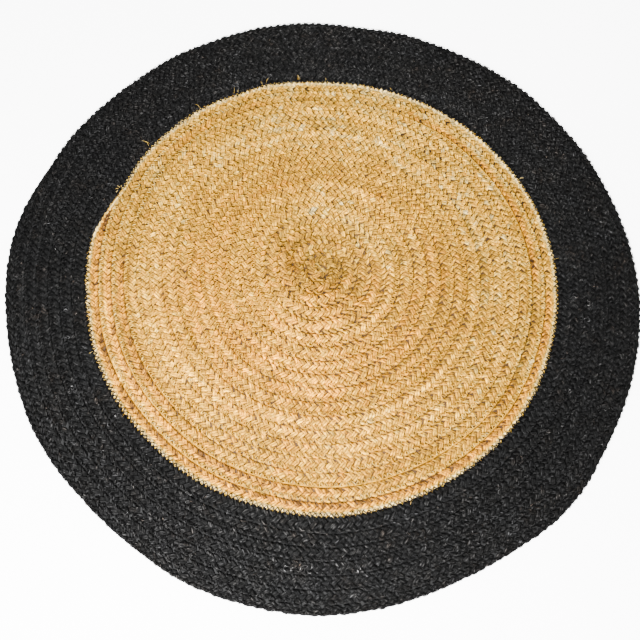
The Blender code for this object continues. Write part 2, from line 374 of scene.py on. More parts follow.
# Painted light and shade on the black, by bearing: (bearing_deg, brightness)
BLACK_PAINTED_LIGHT = (
    (0, 0.55), (45, 0.98), (90, 1.1), (135, 0.74), (180, 0.41), (225, 0.6), (270, 0.9), (315, 0.5),
)
BLACK_TONE = 0.3  # from 0, blue black, to 1, brownish


# Painted light and shade on the black at a bearing
def black_painted_light(bearing):
    return np.interp(bearing, *zip(*BLACK_PAINTED_LIGHT), period=360)


def black_colour(travel, share, radius, bearing, end):
    """Tone and brightness of the dyed jute; its brightness holds painted light and shade by bearing."""
    streaks = np.exp(BLACK_STREAK_DEPTH * row_streaks(travel, share))
    return BLACK_TONE + 0 * bearing, black_painted_light(bearing) * streaks


# What each strand and thread is made of: a mesh with what its material reads
def braid_line(first, last, start, end, rng):
    """A braid's stations: travel, distance along, inner and outer radius, and the weave's phase."""
    fine = np.arange(first, last, FINE)
    inner, outer = edges(fine, start, end)
    gone = run_of(place(fine, (inner + outer) / 2, 0))
    period = np.interp(fine / 360, *zip(*PITCHES)) * MM * STRANDS
    fine_phase = TURN * np.concatenate([[0], np.cumsum(np.diff(gone) / period[1:])])
    for drift in PITCH_DRIFTS:
        fine_phase = fine_phase + wander(rng, gone, *drift)
    from_station = math.ceil(fine_phase[0] * STATIONS / TURN)
    phase = np.arange(from_station, fine_phase[-1] * STATIONS / TURN) * TURN / STATIONS
    travel, along = np.interp(phase, fine_phase, fine), np.interp(phase, fine_phase, gone)
    inner, outer = edges(travel, start, end)
    return travel, along, inner, outer, phase


def strand_way(line, number, rng, end):
    """Where one strand goes: its swing, petal lots, thickness, width, radius and height."""
    travel, along, inner, outer, phase = line
    width = outer - inner
    full = smooth(width / FULL_WIDTH)
    phase = phase + TURN * number / STRANDS
    phase = phase + wander(rng, along, *PHASE_DRIFT)
    swing = (np.sin(phase) - TURN_FLAT * np.sin(3 * phase)) / (1 + TURN_FLAT)
    over = np.tanh(CROSSING_STEEP * np.cos((STRANDS - 1) * phase)) / math.tanh(CROSSING_STEEP)
    petal = np.round((STRANDS - 1) * phase / TURN).astype(int)
    petal -= petal.min()
    lot = lots(rng, (petal.max() + 1, 4))[petal].T
    crossing = 2 * over * over - 1
    thick = 1 + THICKER * crossing + wander(rng, along, *THICK_DRIFT) + THICK_LOTS * lot[0]
    thick = STRAND_THICK * full * thick
    wide = 1 + WIDER * crossing - NARROWER * swing**4 + wander(rng, along, *WIDE_DRIFT)
    wide = STRAND_SHARE * width * wide * (1 + WIDE_LOTS * lot[1])
    closed = BORDER_CLOSED
    if end == NATURAL_END:
        closed = 1 - smooth(((inner + outer) / 2 - APART_FROM) / APART_OVER)
    reach = width / 2 - (EDGE_ROOM - CLOSED_ROOM * closed) * STRAND_THICK * full
    offset = reach * swing + wander(rng, along, SIDE_DRIFT * full, SIDE_STEP)
    height = THICK / 2 + LIFT * full * over + wander(rng, along, *LIFT_DRIFT)
    if end == NATURAL_END:  # its outer edge lies over the black
        overlap = smooth((travel - end + 360 - SPLICE_TO) / DRAWN_FADE) * np.maximum(swing, 0)
        offset, height = offset - DRAWN_IN * full * overlap, height + RAISED * full * overlap
    else:  # its inner edge follows the natural braid's
        begins = smooth((BORDER_START + 360 - travel) / BORDER_FADE)
        offset = offset - BORDER_REACH * begins * np.maximum(-swing, 0)
    return phase, lot, thick, wide, (inner + outer) / 2 + offset, height


def strand(line, number, rng, colour, end):
    """One strand of a flat plait: its rings of points, and what its material reads."""
    travel, along, inner, outer, _ = line
    phase, lot, thick, wide, radius, height = strand_way(line, number, rng, end)
    points = place(travel, radius, height)
    half = phase % TURN
    fold = math.pi * smooth((half - FOLD_FROM) / FOLD_OVER)
    fold = fold - math.pi * smooth((half - math.pi - FOLD_FROM) / FOLD_OVER)
    across, through = ring_frames(points, fold + wander(rng, along, *ROLL_DRIFT))
    section = np.array(SECTION, float)
    side = wide[:, None] / 2 * section[:, 0]
    depth = thick[:, None] / 2 * section[:, 1]
    uneven = 1 + SECTION_LOTS * lots(rng, side.shape)
    ends = np.ones(len(points))
    ends[0] = ends[-1] = STRAND_ENDS
    side, depth = side * uneven * ends[:, None], depth * uneven * ends[:, None]
    rings, local, path = ringed(points, side, depth, across, through, NOISE_APART * number)
    width = np.maximum(outer - inner, 1e-6)
    share = np.broadcast_to(((radius - inner) / width)[:, None], side.shape)
    share = share + side * np.cos(fold)[:, None] / width[:, None]
    whole = lambda v: np.broadcast_to(v[:, None], side.shape)
    tone, shade = colour(whole(travel), share, whole(radius), whole(bearing_of(travel)), end)
    tone = tone + whole(TONE_LOTS * lot[2] + wander(rng, along, *TONE_DRIFT))
    mixed = BORDER_SHADE_LOTS if end > NATURAL_END else SHADE_LOTS
    shade = shade * whole(np.exp(mixed * lot[3] + wander(rng, along, *SHADE_DRIFT)))
    # Painted shade in the grooves between the yarns and at the strand's sides, fainter where it folds
    # over
    edge = section[:, 2] * (1 - FOLD_HIDES * np.abs(np.sin(fold)))[:, None]
    return rings, local, path, tone, shade, edge


# A map's rows: how much longer than their share, and what tubes fill of their length and height
ROW_SLACK = 1.001
ROW_FROM, ROW_SPAN = 0.01, 0.98
SIDE_FROM, SIDE_SPAN = 0.05, 0.9


def tube_map(starts, stops, girth, sides):
    """A map that lays tubes out in rows: per quad, the four corners' places."""
    length = stops.max() - starts.min()
    starts, stops = starts - starts.min(), stops - starts.min()
    rows = max(int(round(math.sqrt(length / girth))), 1)
    row_length = length / rows * ROW_SLACK
    row = np.minimum(((starts + stops) / 2 / row_length).astype(int), rows - 1)
    u0, u1 = (ROW_FROM + ROW_SPAN * (at - row * row_length) / row_length for at in (starts, stops))
    j = np.arange(sides)
    v0 = (row[:, None] + SIDE_FROM + SIDE_SPAN * j / sides) / rows
    v1 = (row[:, None] + SIDE_FROM + SIDE_SPAN * (j + 1) / sides) / rows
    u0, u1 = (np.broadcast_to(u[:, None], v0.shape) for u in (u0, u1))
    corners = ((u0, v0), (u1, v0), (u1, v1), (u0, v1))
    return np.stack([np.stack(corner, 2) for corner in corners], 2)


def build_mesh(name, verts, faces, material, values=None, uvs=None):
    """A mesh object from faces of any size; values are numbers for each vertex, by attribute."""
    mesh = bpy.data.meshes.new(name)
    mesh.vertices.add(len(verts))
    mesh.vertices.foreach_set("co", np.asarray(verts, np.float32).ravel())
    counts = np.concatenate([np.full(len(f), f.shape[1]) for f in faces])
    corners = np.concatenate([f.ravel() for f in faces])
    mesh.loops.add(len(corners))
    mesh.loops.foreach_set("vertex_index", corners.astype(np.int32))
    mesh.polygons.add(len(counts))
    starts = np.concatenate([[0], np.cumsum(counts)[:-1]])
    mesh.polygons.foreach_set("loop_start", starts.astype(np.int32))
    mesh.update(calc_edges=True)
    mesh.validate()
    for key, numbers in (values or {}).items():
        kind, field = ("FLOAT_VECTOR", "vector") if key == "jute" else ("FLOAT", "value")
        attribute = mesh.attributes.new(key, kind, "POINT")
        attribute.data.foreach_set(field, np.asarray(numbers, np.float32).ravel())
    if uvs is not None:
        layer = mesh.uv_layers.new(name="OFBake")
        layer.uv.foreach_set("vector", np.asarray(uvs, np.float32).ravel())
    mesh.shade_smooth()
    mesh.materials.append(material)
    obj = bpy.data.objects.new(name, mesh)
    bpy.context.scene.collection.objects.link(obj)
    return obj


def tubes(name, rings, local, path, tone, shade, slot, girth, edge=0.0):
    """Closed tubes from rings of points (tube, station, side), or one, as one piece."""
    if tone.ndim == path.ndim:  # a value for each ring
        tone, shade = (np.broadcast_to(v[..., None], rings.shape[:-1]) for v in (tone, shade))
    if rings.ndim == 3:
        rings, local, path = rings[None], local[None], path[None]
    count, stations, sides = rings.shape[:3]
    i = np.arange(count)[:, None, None] * stations + np.arange(stations - 1)[None, :, None]
    i = i * sides
    j = np.arange(sides)[None, None]
    k = (j + 1) % sides
    quads = np.stack([i + j, i + sides + j, i + sides + k, i + k], 3).reshape(-1, 4)
    first = np.arange(count)[:, None] * stations * sides
    last = first + (stations - 1) * sides
    caps = np.concatenate([first + np.arange(sides), last + np.arange(sides)[::-1]])
    uv = tube_map(path[:, :-1].ravel(), path[:, 1:].ravel(), girth, sides).reshape(-1, 2)
    uv = np.concatenate([uv, np.broadcast_to(uv[:1], (len(caps) * sides, 2))])
    edge = np.broadcast_to(edge, rings.shape[:3])
    values = {"jute": local, "tone": tone, "shade": shade, "edge": edge}
    obj = build_mesh(name, rings.reshape(-1, 3), [quads, caps], LOOKS[slot], values, uv)
    PIECES[slot].append(shown(obj, slot))


def thread(points, radius, sides):
    """The rings of a round thread, or of each of many."""
    across, through = ring_frames(points)
    turn = TURN * (np.arange(sides) + 0.5) / sides
    radius = np.broadcast_to(radius, points.shape[:-1])[..., None]
    side, depth = radius * np.cos(turn), radius * np.sin(turn)
    return ringed(points, side, depth, across, through)


# How uneven stitches are, as shares of their step, reach and thickness, and in metres
STITCH_STEP, STITCH_REACH, STITCH_GIRTH = 0.08, 0.10, 0.08
STITCH_LOW, STITCH_HIGH = 0.2 * MM, 0.25 * MM
STITCH_KNOTS = (0, 0.3, 0.7)  # where along a stitch its points are: the first is low, the others high


def zigzag(
    name, slot, rng, first, last, start, end, pitch, inward, outward, lows, high, radius, sides, look
):
    """Sewing to and fro over a braid's outer edge; lows are its heights inward and outward of it."""
    fine = np.arange(first, last, FINE)
    travel = spaced(fine, place(fine, edges(fine, start, end)[1], 0), pitch / 2)
    count = len(travel)
    travel = travel + lots(rng, count) * STITCH_STEP * (travel[1] - travel[0])
    outer = np.arange(count) % 2
    side = np.where(outer, outward, -inward)
    side = side * (1 + STITCH_REACH * lots(rng, count))
    low = np.where(outer, lows[1], lows[0]) + STITCH_LOW * rng.normal(size=count)
    at = (np.arange(count - 1)[:, None] + np.array(STITCH_KNOTS)[None]).ravel()
    knots = np.arange(count)
    lift = np.tile([0, 1, 1], count - 1)
    at_travel = np.interp(at, knots, travel)
    radii = edges(at_travel, start, end)[1] + np.interp(at, knots, side)
    height = np.interp(at, knots, low) * (1 - lift) + lift * (high + STITCH_HIGH * lots(rng, len(at)))
    points = place(at_travel, radii, height)
    made = thread(points, radius * (1 + STITCH_GIRTH * lots(rng, len(at))), sides)
    tubes(name, *made, *look(points, lift, rng), slot, TURN * radius)


def shown(obj, slot):
    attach(obj, "root")
    return obj


# The inner layers
SLAB_LOW, SLAB_HIGH = 0.0042, 0.0056
SLAB_SUNK = 0.3 * MM  # the border's below the natural one's
SLAB_UNDER = 2.8 * MM  # how far the border's reaches under the natural braid
SLAB_EYE = 0.002  # radius of the hole in the middle
SLAB_STEPS = 240


def rim_radius(bearing, end):
    """A coil's outline about the rug's middle, at bearings in degrees."""
    travel = end + (COUNT_FROM - bearing) % 360
    travel = np.where(travel > end + SPLICE_TO, travel - 360, travel)
    return edges(travel, 0, end)[1]


def slab(name, slot, end, start, overlap, material):
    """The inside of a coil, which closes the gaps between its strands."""
    bearing = np.arange(SLAB_STEPS) * 360 / SLAB_STEPS
    outside = rim_radius(bearing, end) + overlap
    inside = rim_radius(bearing, start) - SLAB_UNDER if start else SLAB_EYE + 0 * bearing
    sunk = SLAB_SUNK if start else 0.0
    loops = []
    for height, shares in ((SLAB_HIGH - sunk, (0, 0.5, 1)), (SLAB_LOW - sunk, (1, 0.5, 0))):
        for share in shares:
            radius = inside + share * (outside - inside)
            loops.append(np.append(polar(bearing, radius), np.full((SLAB_STEPS, 1), height), 1))
    count = len(loops)
    i = np.arange(count)[:, None] * SLAB_STEPS
    n = (np.arange(count)[:, None] + 1) % count * SLAB_STEPS
    j = np.arange(SLAB_STEPS)[None]
    k = (j + 1) % SLAB_STEPS
    quads = np.stack([i + j, n + j, n + k, i + k], 2).reshape(-1, 4)
    return shown(build_mesh(name, np.concatenate(loops), [quads], material), slot)


# Loose fibres
HAIR_TAPER = 0.7  # how much thinner a fibre's ends are
HAIRS_APART = 2 * MM  # along the map
HAIR_SIDES = 3


def hairs(points, radius, tone, shade, name, slot):
    """Many fibres of (fibre, station) points, thick at the middle and thin at both ends."""
    share = np.linspace(0, 1, points.shape[1])[None]
    taper = 1 - HAIR_TAPER * np.abs(2 * share - 1) ** 3
    rings, local, path = thread(points, radius[:, None] * taper, HAIR_SIDES)
    path = path + np.concatenate([[0], np.cumsum(path[:-1, -1] + HAIRS_APART)])[:, None]
    local[..., 0] = path[..., None]
    tone, shade = (v[:, None] + 0 * path for v in (tone, shade))
    tubes(name, rings, local, path, tone, shade, slot, TURN * float(radius.mean()))


def strayed(starts, headings, lengths, bends, height, arch, stations):
    """Points along fibres that start at places, point along headings and bend on their way."""
    share = np.linspace(0, 1, stations)[None]
    heading = headings[:, None] + bends[:, None] * share**1.3
    step = lengths[:, None] / (stations - 1)
    x = starts[:, :1] + np.cumsum(step * np.cos(heading), 1)
    y = starts[:, 1:] + np.cumsum(step * np.sin(heading), 1)
    z = height[:, None] + arch[:, None] * np.sin(math.pi * share)
    return np.stack([x, y, np.broadcast_to(z, x.shape)], 2)


def polar(bearing, radius):
    turn = np.radians(bearing)
    return np.stack([radius * np.cos(turn), radius * np.sin(turn)], -1)


# Materials
class Nodes:
    """A short way to build a material's nodes."""

    def __init__(self, name):
        self.material = bpy.data.materials.new(name)
        self.material.use_nodes = True
        self.tree = self.material.node_tree
        self.shader = self.tree.nodes["Principled BSDF"]

    def link(self, source, socket):
        if isinstance(source, (int, float, tuple)):
            socket.default_value = source
        else:
            self.tree.links.new(source, socket)

    def new(self, kind):
        return self.tree.nodes.new("ShaderNode" + kind)

    def attribute(self, name, output="Fac"):
        node = self.new("Attribute")
        node.attribute_name = name
        return node.outputs[output]

    def place(self):
        return self.new("NewGeometry").outputs["Position"]

    def noise(self, vector, scale, detail, roughness):
        """Noise from 0 to 1, with features of 1 / scale metres along each axis."""
        stretch = self.new("Mapping")
        stretch.inputs["Scale"].default_value = scale
        self.link(vector, stretch.inputs["Vector"])
        node = self.new("TexNoise")
        for name, number in (("Scale", 1.0), ("Detail", detail), ("Roughness", roughness)):
            node.inputs[name].default_value = number
        self.link(stretch.outputs[0], node.inputs["Vector"])
        return node.outputs[0]

    def maths(self, operation, a, b, kind="Math", second=1):
        node = self.new(kind)
        node.operation = operation
        self.link(a, node.inputs[0])
        self.link(b, node.inputs[second])
        return node.outputs[0]

    def scaled(self, colour, value):
        return self.maths("SCALE", colour, value, "VectorMath", "Scale")

    def sum(self, a, b):
        return self.maths("ADD", a, b, "VectorMath")

    def spread(self, value, low, high, to_low, to_high, kind="LINEAR"):
        node = self.new("MapRange")
        node.interpolation_type = kind
        self.link(value, node.inputs["Value"])
        numbers = {"From Min": low, "From Max": high, "To Min": to_low, "To Max": to_high}
        for name, number in numbers.items():
            node.inputs[name].default_value = number
        return node.outputs[0]

    def ramp(self, value, stops):
        node = self.new("ValToRGB")
        elements = node.color_ramp.elements
        elements[0].position, elements[1].position = stops[0][0], stops[-1][0]
        for at, colour in stops[1:-1]:
            elements.new(at)
        for element, (at, colour) in zip(elements, stops):
            element.color = (*colour, 1)
        self.link(value, node.inputs[0])
        return node.outputs[0]

    def bump(self, height, distance):
        node = self.new("Bump")
        node.inputs["Strength"].default_value = 1.0
        node.inputs["Distance"].default_value = distance
        self.link(height, node.inputs["Height"])
        self.link(node.outputs[0], self.shader.inputs["Normal"])

    def readings(self, noises):
        """What a jute's look goes by: its noises, the height, and how much painted shade a groove gets.
        """
        at = {"strand": self.attribute("jute", "Vector"), "place": self.place()}
        found = {name: self.noise(at[where], *rest) for name, (where, *rest) in noises.items()}
        xyz = self.new("SeparateXYZ")
        self.link(at["place"], xyz.inputs[0])
        return found | {"height": xyz.outputs[2], "edge": self.attribute("edge")}

    def spreads(self, operation, value, read, table):
        """A value, with what a table makes of the readings added or multiplied."""
        for name, spread in table.items():
            value = self.maths(operation, value, self.spread(read[name], *spread))
        return value

    def finish(self, colour, read, roughness, specular, coarse_share, depth):
        self.link(colour, self.shader.inputs["Base Color"])
        self.link(self.spread(read["coarse"], *roughness), self.shader.inputs["Roughness"])
        self.shader.inputs["Specular IOR Level"].default_value = specular
        coarse = self.maths("MULTIPLY", read["coarse"], coarse_share)
        self.bump(self.maths("ADD", read["streak"], coarse), depth)
        return self.material


# Jute's colours by tone
BLEACHED = (0.588, 0.432, 0.162)
WHITISH = (0.582, 0.36, 0.048)
STRAW = (0.57, 0.282, 0.012)
GOLDEN = (0.384, 0.185, 0.0108)
ORANGE = (0.66, 0.264, 0.002)
BROWN = (0.126, 0.054, 0.0096)
JUTE_STOPS = (
    (0.0, BLEACHED), (0.12, WHITISH), (0.27, STRAW), (0.5, GOLDEN), (0.76, ORANGE), (1.0, BROWN),
)
# The colour that the painted shade in the grooves adds
GROOVE_SHADE_TINT = (0.0024, 0.003, 0.012)  # what a groove between yarns adds
BLACK_STOPS = (
    (0.0, (0.0044, 0.0044, 0.0045)), (0.5, (0.0048, 0.0046, 0.0044)), (1.0, (0.0075, 0.0055, 0.0042)),
)
BLACK_LEAST = 0.55  # brightness between grey flecks

# Noise: (what it lies on, features in a metre along, across and through it, detail, roughness)
JUTE_NOISE = {
    "streak": ("strand", (85, 1700, 1700), 2.0, 0.6),
    "coarse": ("strand", (160, 420, 420), 1.0, 0.5),
    "patch": ("place", (16, 16, 16), 2.0, 0.55),
    "speckle": ("place", (230, 230, 60), 1.0, 0.5),
    "bundle": ("strand", (200, 620, 620), 0.0, 0.5),
}
BLACK_NOISE = {
    "streak": ("strand", (110, 1600, 1600), 2.0, 0.6),
    "coarse": ("strand", (170, 420, 420), 1.0, 0.5),
    "patch": ("place", (22, 22, 22), 2.0, 0.55),
    "fleck": ("strand", (150, 560, 560), 1.0, 0.5),
    "bundle": ("strand", (210, 640, 640), 0.0, 0.5),
}
# What a reading does as it goes from low to high: (low, high, result at low, result at high, how)
JUTE_TONE = {
    "streak": (0.25, 0.75, -0.20, 0.20),
    "patch": (0.25, 0.75, -0.10, 0.10),
    "coarse": (0.25, 0.75, -0.12, 0.12),
}
# Brightness: speckle and bundle vary at random; height paints shade low in the braid and light on its
# crowns; the groove reading paints shade in the grooves and light on the yarns' tops
JUTE_LIGHT = {
    "speckle": (0.25, 0.75, 0.64, 1.38),
    "height": (0.0052, 0.0097, 0.50, 1.14, "SMOOTHSTEP"),
    "edge": (0.25, 1.0, 1.16, 0.16, "SMOOTHSTEP"),
    "bundle": (0.3, 0.7, 0.68, 1.30),
}
PATCH_TONE = {"patch": (0.3, 0.75, -0.25, 0.4)}
FLECK, FLECK_GREY = (0.53, 0.65, 0.0, 1.0, "SMOOTHSTEP"), {"streak": (0.35, 0.65, 1.0, 8.5)}
BUNDLE_LIGHT = {"bundle": (0.35, 0.65, 0.35, 1.60)}
# The black's painted shade low in the braid and in its grooves, and painted light on its crowns
BLACK_LIGHT = {
    "height": (0.0052, 0.0093, 0.15, 1.15, "SMOOTHSTEP"),
    "edge": (0.25, 1.0, 1.20, 0.15, "SMOOTHSTEP"),
}
JUTE_ROUGHNESS, BLACK_ROUGHNESS = (0.2, 0.8, 0.60, 0.85), (0.2, 0.8, 0.50, 0.80)


def jute_look():
    n = Nodes("natural_jute_look")
    read = n.readings(JUTE_NOISE)
    tone = n.spreads("ADD", n.attribute("tone"), read, JUTE_TONE)
    light = n.spreads("MULTIPLY", n.attribute("shade"), read, JUTE_LIGHT)
    colour = n.sum(n.scaled(n.ramp(tone, JUTE_STOPS), light), n.scaled(GROOVE_SHADE_TINT, read["edge"]))
    return n.finish(colour, read, JUTE_ROUGHNESS, specular=0.04, coarse_share=0.8, depth=0.0011)


def black_look():
    n = Nodes("black_jute_look")
    read = n.readings(BLACK_NOISE)
    tone = n.spreads("ADD", n.attribute("tone"), read, PATCH_TONE)
    grey = n.spreads("MULTIPLY", n.spread(read["fleck"], *FLECK), read, FLECK_GREY)
    light = n.spreads("MULTIPLY", n.maths("ADD", BLACK_LEAST, grey), read, BUNDLE_LIGHT)
    light = n.maths("MULTIPLY", light, n.attribute("shade"))
    light = n.spreads("MULTIPLY", light, read, BLACK_LIGHT)
    colour = n.scaled(n.ramp(tone, BLACK_STOPS), light)
    return n.finish(colour, read, BLACK_ROUGHNESS, specular=0.085, coarse_share=0.6, depth=0.0008)


def inside_look(name, light, dark):
    n = Nodes(name)
    grain = n.noise(n.place(), (300, 300, 300), detail=2.0, roughness=0.6)
    n.link(n.ramp(grain, ((0.3, dark), (0.7, light))), n.shader.inputs["Base Color"])
    n.shader.inputs["Roughness"].default_value = 0.9
    n.bump(grain, distance=0.0006)
    return n.material


def braided(prefix, slot, seed, colour, first, last, start, end):
    """A braid's strands."""
    line = braid_line(first, last, start, end, default_rng(seed - 1))
    for number in range(STRANDS):
        rng = default_rng(seed + number)
        rings, local, path, tone, shade, edge = strand(line, number, rng, colour, end)
        name = f"{prefix}_strand_{number + 1}"
        tubes(name, rings, local, path, tone, shade, slot, STRAND_GIRTH, edge)


LOOKS = {"natural_jute": jute_look(), "black_jute": black_look()}
PIECES = {"natural_jute": [], "black_jute": []}
EYE_START = 60  # degrees, where the strands begin in the eye

braided(
    "natural", "natural_jute", 10, jute_colour,
    first=EYE_START, last=NATURAL_END + SPLICE_TO, start=0, end=NATURAL_END,
)
braided(
    "black", "black_jute", 20, black_colour,
    first=BORDER_START, last=BORDER_END + SPLICE_TO, start=BORDER_START, end=BORDER_END,
)


# Sewing. Natural thread: (radius_mm, painted shade where it dives into its holes) and (radius_mm, tone)
SEAM_HOLE_SHADE = ((360, 0.85), (395, 0.40))
SEAM_TONES = ((0, 0.44), (300, 0.36), (400, 0.20), (450, 0.10))
SEAM_UP, SEAM_TONE_LOTS = 1.04, 0.08  # the stitches' brightness, and how mixed their tone is
# Black thread: brightness of its raised stitches, and painted shade where it dives into its holes
DARK_SEAM_UP, DARK_SEAM_HOLE_SHADE = 1.35, 0.5
DARK_SEAM_LOTS, DARK_SEAM_TONE_LOTS = 0.35, 0.1


def seam_colour(points, lift, rng):
    radius = np.hypot(points[:, 0], points[:, 1]) / MM
    shade = np.interp(radius, *zip(*NATURAL_SHADES))
    # painted shade where the thread dives into its holes
    shade = shade * np.where(lift > 0, SEAM_UP, np.interp(radius, *zip(*SEAM_HOLE_SHADE)))
    tone = np.interp(radius, *zip(*SEAM_TONES))
    return tone + SEAM_TONE_LOTS * rng.normal(size=len(points)), shade


RIM_YARN = 0.0025  # radius
RIM_RUN = 0.55  # metres along for a radian
RIM_DRIFT = (0.2 * MM, 0.04)


def rim_yarn(name, slot, rng, end, step, inward, height, sides, tone, shade):
    """A yarn inside a coil's rim, which fills the notches between the strands' folds."""
    bearing = np.arange(0, 360 + step / 2, step)
    along = np.radians(bearing) * RIM_RUN
    radius = rim_radius(bearing % 360, end) - inward + wander(rng, along, *RIM_DRIFT)
    points = np.append(polar(bearing, radius), np.full((len(bearing), 1), height), 1)
    shades = shade(bearing)
    tubes(name, *thread(points, RIM_YARN, sides), tone + 0 * shades, shades, slot, TURN * RIM_YARN)


def dark_seam_colour(points, lift, rng):
    bearing = np.degrees(np.arctan2(points[:, 1], points[:, 0]))
    up = DARK_SEAM_UP * np.exp(DARK_SEAM_LOTS * lots(rng, len(points)))
    tone = BLACK_TONE + DARK_SEAM_TONE_LOTS * rng.normal(size=len(points))
    # painted light and shade by bearing, and painted shade at the holes
    return tone, black_painted_light(bearing) * np.where(lift > 0, up, DARK_SEAM_HOLE_SHADE)


zigzag(
    "natural_seams", "natural_jute", default_rng(31),
    first=EVEN_TURNS * 360, last=BORDER_START, start=0, end=NATURAL_END,
    pitch=0.0094, inward=0.0092, outward=0.0004, lows=(0.0088, 0.0072), high=0.0112,
    radius=0.00075, sides=3, look=seam_colour,
)
zigzag(
    "black_seams", "black_jute", default_rng(32),
    first=NATURAL_END + 420, last=BORDER_END + 20, start=BORDER_START, end=BORDER_END,
    pitch=0.0108, inward=0.0070, outward=0.0004, lows=(0.0088, 0.0072), high=0.0110,
    radius=0.00070, sides=3, look=dark_seam_colour,
)
zigzag(
    "black_border_stitches", "black_jute", default_rng(33),
    first=NATURAL_END - 360 + SPLICE_TO, last=BORDER_START, start=0, end=NATURAL_END,
    pitch=0.0093, inward=0.0068, outward=-0.0004, lows=(0.0104, 0.0092), high=0.0120,
    radius=0.00115, sides=4, look=dark_seam_colour,
)
rim_yarn(
    "black_rim_yarn", "black_jute", default_rng(36), BORDER_END,
    step=0.6, inward=3.0 * MM, height=THICK / 2, sides=6, tone=BLACK_TONE, shade=black_painted_light,
)
rim_yarn(
    "natural_rim_yarn", "natural_jute", default_rng(37), NATURAL_END,
    step=1.2, inward=DRAWN_IN + 2.6 * MM, height=0.0060, sides=5, tone=0.02,
    shade=lambda bearing: 1.25 + 0 * bearing,
)


# The smooth ridge along an outer groove of the natural coil, and a thin dark thread beside it:
# painted shade that stands for the sharp groove there
# (turns in from the outermost, bearing from and to)
RIDGES = ((1, 184, 262), (1, 300, 352), (2, 196, 334), (2, 357, 430), (3, 204, 236))
# (how far inward of the groove, height, radius, tone, brightness)
# The second thread is dark: painted shade for a sharp groove
RIDGE_THREADS = ((0.0012, 0.0091, 0.0010, 0.34, 0.80), (-0.0004, 0.0093, 0.00065, 0.85, 0.30))
RIDGE_STEP, RIDGE_RUN = 0.5, 0.0035  # from point to point, in degrees and metres
RIDGE_FADE = 16  # degrees over which its ends sink and thin
RIDGE_SUNK_MM = 2.5
RIDGE_SIDES, RIDGE_GIRTH = 5, 0.001
# How uneven ridges are
RIDGE_SIDE_DRIFT = (0.35 * MM, 0.05)
RIDGE_LIFT_DRIFT = (0.15 * MM, 0.03)
RIDGE_TONE_DRIFT = (0.06, 0.04)
RIDGE_SHADE_LOTS = 0.08


def ridges(rng):
    found = []
    for turn, first, last in RIDGES:
        bearing = np.arange(first, last, RIDGE_STEP)
        end = NATURAL_END + SPLICE_TO
        travel = end - 360 * turn - (bearing - bearing_of(end)) % 360
        groove = edges(travel, 0, NATURAL_END)[1]
        along = np.arange(len(travel)) * RIDGE_RUN
        fade = smooth(np.minimum(bearing - first, last - RIDGE_STEP - bearing) / RIDGE_FADE)
        for inward, height, radius, tone, shade in RIDGE_THREADS:
            at = groove - inward + wander(rng, along, *RIDGE_SIDE_DRIFT)
            up = height - (1 - fade) * RIDGE_SUNK_MM * MM
            up = up + wander(rng, along, *RIDGE_LIFT_DRIFT)
            points = place(travel, at, up)
            made = thread(points, radius * (0.5 + 0.5 * fade), RIDGE_SIDES)
            tone = tone + wander(rng, along, *RIDGE_TONE_DRIFT)
            shade = shade * np.exp(RIDGE_SHADE_LOTS * lots(rng, len(along)))
            found.append((*made, tone, shade))
    # shorter threads end in points that repeat, so that all of them fit one array
    longest = np.arange(max(len(part[2]) for part in found))
    parts = [np.stack([v[np.minimum(longest, len(v) - 1)] for v in values]) for values in zip(*found)]
    tubes("natural_ridges_and_groove_shade", *parts, "natural_jute", TURN * RIDGE_GIRTH)


ridges(default_rng(35))


# Fibres that have worked loose
# Pale ones that reach over the black from the natural edge:
# (bearing_deg, radius_mm, length_mm, turn off outwards_deg)
EDGE_HAIRS = (
    (98.9, 449, 13, 20), (99.6, 449, 9, -15), (108.3, 451, 15, -25), (109.0, 451, 9, 30),
    (116.0, 448, 8, 10), (117.4, 449, 16, -35), (127.0, 452, 12, 15), (143.5, 452, 21, 15),
    (144.4, 451, 11, -20), (92.0, 445, 7, 0), (74.0, 446, 7, 30), (31.0, 447, 8, -20),
    (203.0, 449, 8, 25), (292.0, 447, 7, -30),
)
# The tuft at the natural braid's tip
TIP_HAIRS = tuple((158.0 + 0.3 * i, 442 + 0.8 * i, 5 + (i * 3) % 4, -60 + 45 * i) for i in range(4))
# Pale curls that lie on the black: (bearing_deg, radius_mm, size_mm, curl_deg)
CURLS = (
    (191.5, 487, 4.2, 250), (198, 490, 3.2, -200), (220, 459, 3.4, 180), (209.5, 510, 4.0, -260),
    (210, 534, 3.4, 200), (183.5, 578, 3.8, 230), (356.5, 475, 3.4, -220), (352.5, 501, 3.0, 200),
    (356.5, 505, 3.6, 260), (335.5, 499, 3.2, -180), (266.0, 536, 4.6, 150), (267.2, 537, 5.0, -160),
    (268.4, 536, 4.4, 190), (269.6, 535, 4.0, -120), (278, 538, 3.2, 170), (243, 470, 3.0, -150),
)


OFF_COIL = 0.85  # radians that loose fibres may turn off the coil's way
PALE_HEIGHT = 10.6 * MM  # of edge fibres and curls
# Curls: how many at a place, how far apart, and the range of their sizes
CURL_COUNT, CURL_DEGREES, CURL_MM, CURL_SIZES = 3, 0.35, 2.0, (0.8, 1.7)
CURL_STATIONS, CURL_CLOSES = 14, 0.35  # the second is how much its radius shrinks to its end
CURL_ARCH = 0.8 * MM


